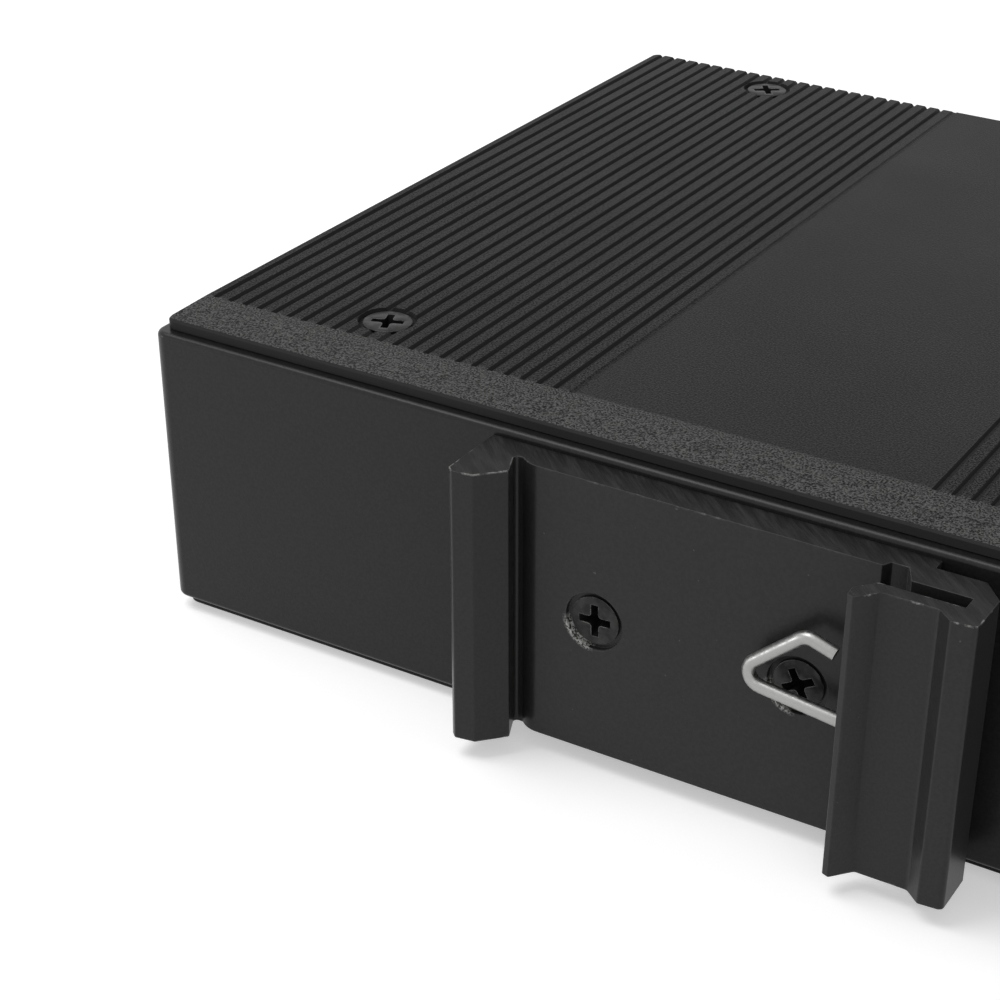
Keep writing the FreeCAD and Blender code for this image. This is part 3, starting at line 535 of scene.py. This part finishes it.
# Painted highlight and wear: rubbed edges are lightened so the heads' rims read as lit.
rub = place_group(tree, worn, Amount=0.6, Width=0.00014, Patches_per_metre=1500.0)
oil = ramp(tree, noise_node(tree, 900.0, 2.0, 0.6), 0.4, 0.65)
paint = mix_colour(tree, oil, oxide_dark, oxide_light)
feed(tree, mix_colour(tree, rub["Mask"], paint, oxide_wear_and_highlight), finish["Base Color"])
feed(tree, bump(tree, grain["Height"], oxide_grain_depth), finish["Normal"])
# Painted shade: the faces deep in the driver recess are painted near black, standing in for the shade that
# falls in it.
recess_shade_tone = grey(0.006)
recess_painted_shade, tree, finish = plain_material("recess_painted_shade", roughness=0.6, ior=1.1)
feed(tree, recess_shade_tone, finish["Base Color"])

shank_radius = 0.00125
shank_point = 0.0003
rim_h = 0.00012
rim_break, rim_break_h = 0.00009, 0.00006
turned_steps = 48
cut_edge_radius = 0.00004
# Driver recess from above its mouth down: half width, half span, inner corners and height.
recess_rows = ((0.00037, 0.00158, 0.00032, 0.0002), (0.00034, 0.0015, 0.0003, 0.0),
               (0.0003, 0.00115, 0.0002, -0.0006), (0.00022, 0.0005, 0.0001, -0.00125))
# Faces of the recess lie below the head's face, within a reach that narrows with their depth, and get the
# painted shade.
recess_low, recess_high = -0.0013, -0.00006
recess_reach, recess_taper = 0.0016, 0.6


def cross_outline(half_w, half_span, corner, z):
    """Outline of a driver recess with its inner corners rounded."""
    points = []
    for turn in range(4):
        spin = Matrix.Rotation(math.pi / 2 * turn, 3, "Z")
        quarter = [(half_w, half_span), (-half_w, half_span)]
        for step in range(4):
            angle = -math.pi / 6 * step
            quarter.append((-half_w - corner + corner * math.cos(angle),
                            half_w + corner + corner * math.sin(angle)))
        points += [spin @ Vector((x, y, z)) for x, y in quarter]
    return points


def turned_blank(name, length):
    """Screw without its recess, turned about Z, its head's face at height 0."""
    profile = [(head_radius - rim_break, 0.0), (head_radius, -rim_break_h), (head_radius, -rim_h),
               (shank_radius, shank_radius - head_radius - rim_h),
               (shank_radius, -length + shank_point), (shank_radius - shank_point, -length)]
    angles = [math.tau * i / turned_steps for i in range(turned_steps)]
    body = bmesh.new()
    rings = [[body.verts.new((r * math.cos(a), r * math.sin(a), z)) for a in angles] for r, z in profile]
    face_middle = body.verts.new((0, 0, 0))
    point_middle = body.verts.new((0, 0, -length))
    for i in range(turned_steps):
        j = (i + 1) % turned_steps
        body.faces.new((face_middle, rings[0][i], rings[0][j]))
        for upper, lower in zip(rings, rings[1:]):
            body.faces.new((upper[i], lower[i], lower[j], upper[j]))
        body.faces.new((rings[-1][j], rings[-1][i], point_middle))
    blank = bpy.data.meshes.new(name)
    body.to_mesh(blank)
    body.free()
    return blank


def driver_bit():
    """Tapered cross that cuts the recess."""
    cut = bmesh.new()
    rows = [[cut.verts.new(point) for point in cross_outline(*row)] for row in recess_rows]
    for upper, lower in zip(rows, rows[1:]):
        for i in range(len(upper)):
            j = (i + 1) % len(upper)
            cut.faces.new((upper[i], upper[j], lower[j], lower[i]))
    cut.faces.new(rows[0][::-1])
    cut.faces.new(rows[-1])
    bmesh.ops.recalc_face_normals(cut, faces=cut.faces)
    bit = bpy.data.meshes.new("driver_bit")
    cut.to_mesh(bit)
    cut.free()
    return bit


def recessed_screw(name, length):
    """One screw with its recess cut and edges broken; the recess has the second material, a painted shade.
    """
    cutter = added("driver_bit", driver_bit())
    one = added(name + "_one", turned_blank(name, length))
    recess = one.modifiers.new("recess", "BOOLEAN")
    recess.operation = "DIFFERENCE"
    recess.solver = "EXACT"
    recess.object = cutter
    rounding = one.modifiers.new("rounding", "BEVEL")
    rounding.width = cut_edge_radius
    rounding.segments = 2
    rounding.limit_method = "ANGLE"
    rounding.angle_limit = math.radians(35)
    graph = bpy.context.evaluated_depsgraph_get()
    single = bpy.data.meshes.new_from_object(one.evaluated_get(graph))
    for face in single.polygons:
        x, y, z = face.center
        in_recess = recess_low < z < recess_high and math.hypot(x, y) < recess_reach + z * recess_taper
        # Recess faces take the second material, the painted shade.
        face.material_index = 1 if in_recess and face.normal.z > -0.1 else 0
    bpy.data.objects.remove(cutter)
    bpy.data.objects.remove(one)
    return single


def flat_head_screws(name, node, toward, turns):
    """Countersunk screws on the node's own places, heads toward a direction, in one piece."""
    low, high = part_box(node)
    axis = max(range(3), key=lambda i: abs(toward[i]))
    across, along = [i for i in range(3) if i != axis]
    single = recessed_screw(name, high[axis] - low[axis])
    upright = Vector(toward).to_track_quat("Z", "Y").to_matrix().to_4x4()
    whole = bmesh.new()
    for i, turn in enumerate(turns):
        spot = Vector((0, 0, 0))
        spot[axis] = high[axis] if toward[axis] > 0 else low[axis]
        spot[across] = high[across] - head_radius if i % 2 else low[across] + head_radius
        spot[along] = high[along] - head_radius if i // 2 else low[along] + head_radius
        turned = Matrix.Rotation(math.radians(turn), 4, "Z")
        before = set(whole.verts)
        whole.from_mesh(single)
        bmesh.ops.transform(whole, verts=[v for v in whole.verts if v not in before],
                            matrix=Matrix.Translation(spot) @ upright @ turned)
    made = bpy.data.meshes.new(name)
    whole.to_mesh(made)
    whole.free()
    made.shade_smooth()
    made.set_sharp_from_angle(angle=math.radians(40))
    made.materials.append(screw_black)
    made.materials.append(recess_painted_shade)
    piece = added(name, made)
    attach(piece, "root")
    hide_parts(node)


for node, toward, turns in (("rail_clip_screws", (0, -1, 0), (2, 28)),
                            ("upper_cover_screws", (0, 0, 1), (20, 64, 35, 8)),
                            ("lower_cover_screws", (0, 0, -1), (50, 12, 77, 31))):
    flat_head_screws(node + "_turned", node, toward, turns)
zinc = metal("zinc_plate", (0.35, 0.35, 0.34), roughness=0.35, scratch=0.000005)
dress("board_screws", zinc)


# ---------------------------------------------------------------- wire spring
# Drawn spring-steel wire, bent cold and held in the clip's slot, where it presses on the rail;
# dull, with faint drawing marks.
wire_d = 0.00116
wire_low, wire_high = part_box("rail_spring")
wire_y = (wire_low.y + wire_high.y) / 2
rail_x = (seats_low.x + seats_high.x) / 2
# Bends as X from the middle of the clip's screws, Z from mid-length and bend radius.
bends = [(0.0132, 0.00525, 0), (0.0106, 0.0061, 0.0013), (0.0041, 0.0005, 0.0013),
         (0.0213, -0.00165, 0.00104), (0.0213, -0.00925, 0)]


def bent_path(bends, steps=10):
    """Points along straight runs joined by round bends, each given as x, z and bend radius."""
    spots = [Vector(bend[:2]) for bend in bends]
    points = [spots[0]]
    for before, spot, after, (_, _, radius) in zip(spots, spots[1:], spots[2:], bends[1:]):
        one, two = (before - spot).normalized(), (after - spot).normalized()
        half = one.angle(two) / 2
        middle = spot + (one + two).normalized() * (radius / math.sin(half))
        first, last = spot + one * (radius / math.tan(half)), spot + two * (radius / math.tan(half))
        sweep = math.pi - 2 * half
        turn = 1 if (first - middle).cross(last - middle) > 0 else -1
        for i in range(steps + 1):
            points.append(middle + Matrix.Rotation(turn * sweep * i / steps, 2) @ (first - middle))
    return points + [spots[-1]]


wire_curve = bpy.data.curves.new("rail_spring_wire", "CURVE")
wire_curve.dimensions = "3D"
wire_curve.bevel_depth = wire_d / 2
wire_curve.bevel_resolution = 8
wire_curve.use_fill_caps = True
route = bent_path(bends)
run = wire_curve.splines.new("POLY")
run.points.add(len(route) - 1)
for spot, (x, z) in zip(run.points, route):
    spot.co = (rail_x + x, wire_y, clip_middle_z + z, 1)
wire_shape = added("rail_spring_shape", wire_curve)
graph = bpy.context.evaluated_depsgraph_get()
wire_mesh = bpy.data.meshes.new_from_object(wire_shape.evaluated_get(graph))
bpy.data.objects.remove(wire_shape)
wire_mesh.shade_smooth()
wire_mesh.set_sharp_from_angle(angle=math.radians(50))
coated(wire_mesh, metal("spring_steel", (0.365, 0.365, 0.36), roughness=0.4, scratch=0.000012))
wire = added("rail_spring_wire", wire_mesh)
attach(wire, "root")
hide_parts("rail_spring")


# ---------------------------------------------------------------- jacks
# Five jacks on the board: nickel-plated sheet shields round black moulded inserts, with gilt
# contacts and clear light guides.
def plastic(name, tone, roughness, depth=0.000005, grains=6000.0, coat=0.0):
    """Moulded plastic with a fine spark-eroded texture."""
    made, tree, finish = plain_material(name, roughness)
    grain = place_group(tree, powder, Grains_per_metre=grains)
    feed(tree, mix_colour(tree, grain["Cloud"], [part * 0.88 for part in tone], tone), finish["Base Color"])
    feed(tree, bump(tree, grain["Height"], depth), finish["Normal"])
    finish["Coat Weight"].default_value = coat
    return made


lens_edge_radius = 0.0001
nickel = metal("nickel_sheet", (0.60, 0.585, 0.555), roughness=0.3, scratch=0.0000006, grains=9000.0)
jack_plastic = plastic("jack_plastic", (0.03, 0.03, 0.032), roughness=0.5)
gilt = metal("gilt", (0.9, 0.66, 0.28), roughness=0.25, scratch=0.000002)
clear = plastic("light_guide", (0.62, 0.66, 0.62), roughness=0.25, coat=0.4)
for node in nodes:
    if node.endswith("_shield"):
        dress(node, nickel)
    elif node.endswith("_insert"):
        dress(node, jack_plastic)
dress("port_contacts", gilt)
softened("port_light_guides", "port_lenses", "clear_plastic", lens_edge_radius, clear, sharpest=35)


# ---------------------------------------------------------------- power terminal and lamp
# Green moulded header and pluggable screw block with plated screws and cages, and beside them
# the power lamp's domed lens.
header_edge_radius, plug_edge_radius, dome_edge_radius = 0.0002, 0.0003, 0.0001
green = plastic("terminal_green", (0.022, 0.19, 0.075), roughness=0.42, depth=0.000008, grains=5000.0)
lamp_green = plastic("lamp_green", (0.1, 0.5, 0.2), roughness=0.2, coat=0.5)
tin = metal("tin_plate", grey(0.6), roughness=0.35, scratch=0.000003)
softened("power_header_moulded", "power_header", "green_plastic", header_edge_radius, green, sharpest=35)
softened("power_plug_moulded", "power_plug", "green_plastic", plug_edge_radius, green, sharpest=35)
dress("power_header_pins", tin)
dress("power_plug_screws", zinc)
dress("power_plug_clamps", tin)
softened("power_lamp_dome", "power_led", "green_lens", dome_edge_radius, lamp_green, sharpest=50)
dress("power_led_leads", tin)


# ---------------------------------------------------------------- board and components
# Glass-epoxy board with green solder mask, screwed to the housing's lugs; it carries moulded
# chips, cans and a black heat sink.
chip_black = plastic("chip_black", (0.02, 0.02, 0.022), roughness=0.55)
for node, material in (
        ("circuit_board", plastic("solder_mask", (0.01, 0.12, 0.05), roughness=0.3, coat=0.3)),
        ("switch_chip", chip_black), ("memory_chip", chip_black), ("power_regulator", chip_black),
        ("port_transformers", chip_black), ("crystal", nickel),
        ("chip_heatsink", metal("black_anodised", (0.04, 0.04, 0.045), roughness=0.4, scratch=0.000004)),
        ("filter_capacitors", metal("can_aluminium", grey(0.7), roughness=0.35, scratch=0.000004)),
        ("thermal_tape", plastic("tape_grey", (0.4, 0.4, 0.42), roughness=0.7)),
        ("power_inductor", plastic("ferrite", (0.08, 0.08, 0.085), roughness=0.6)),
        ("input_fuse", plastic("ceramic", (0.65, 0.63, 0.58), roughness=0.5))):
    dress(node, material)
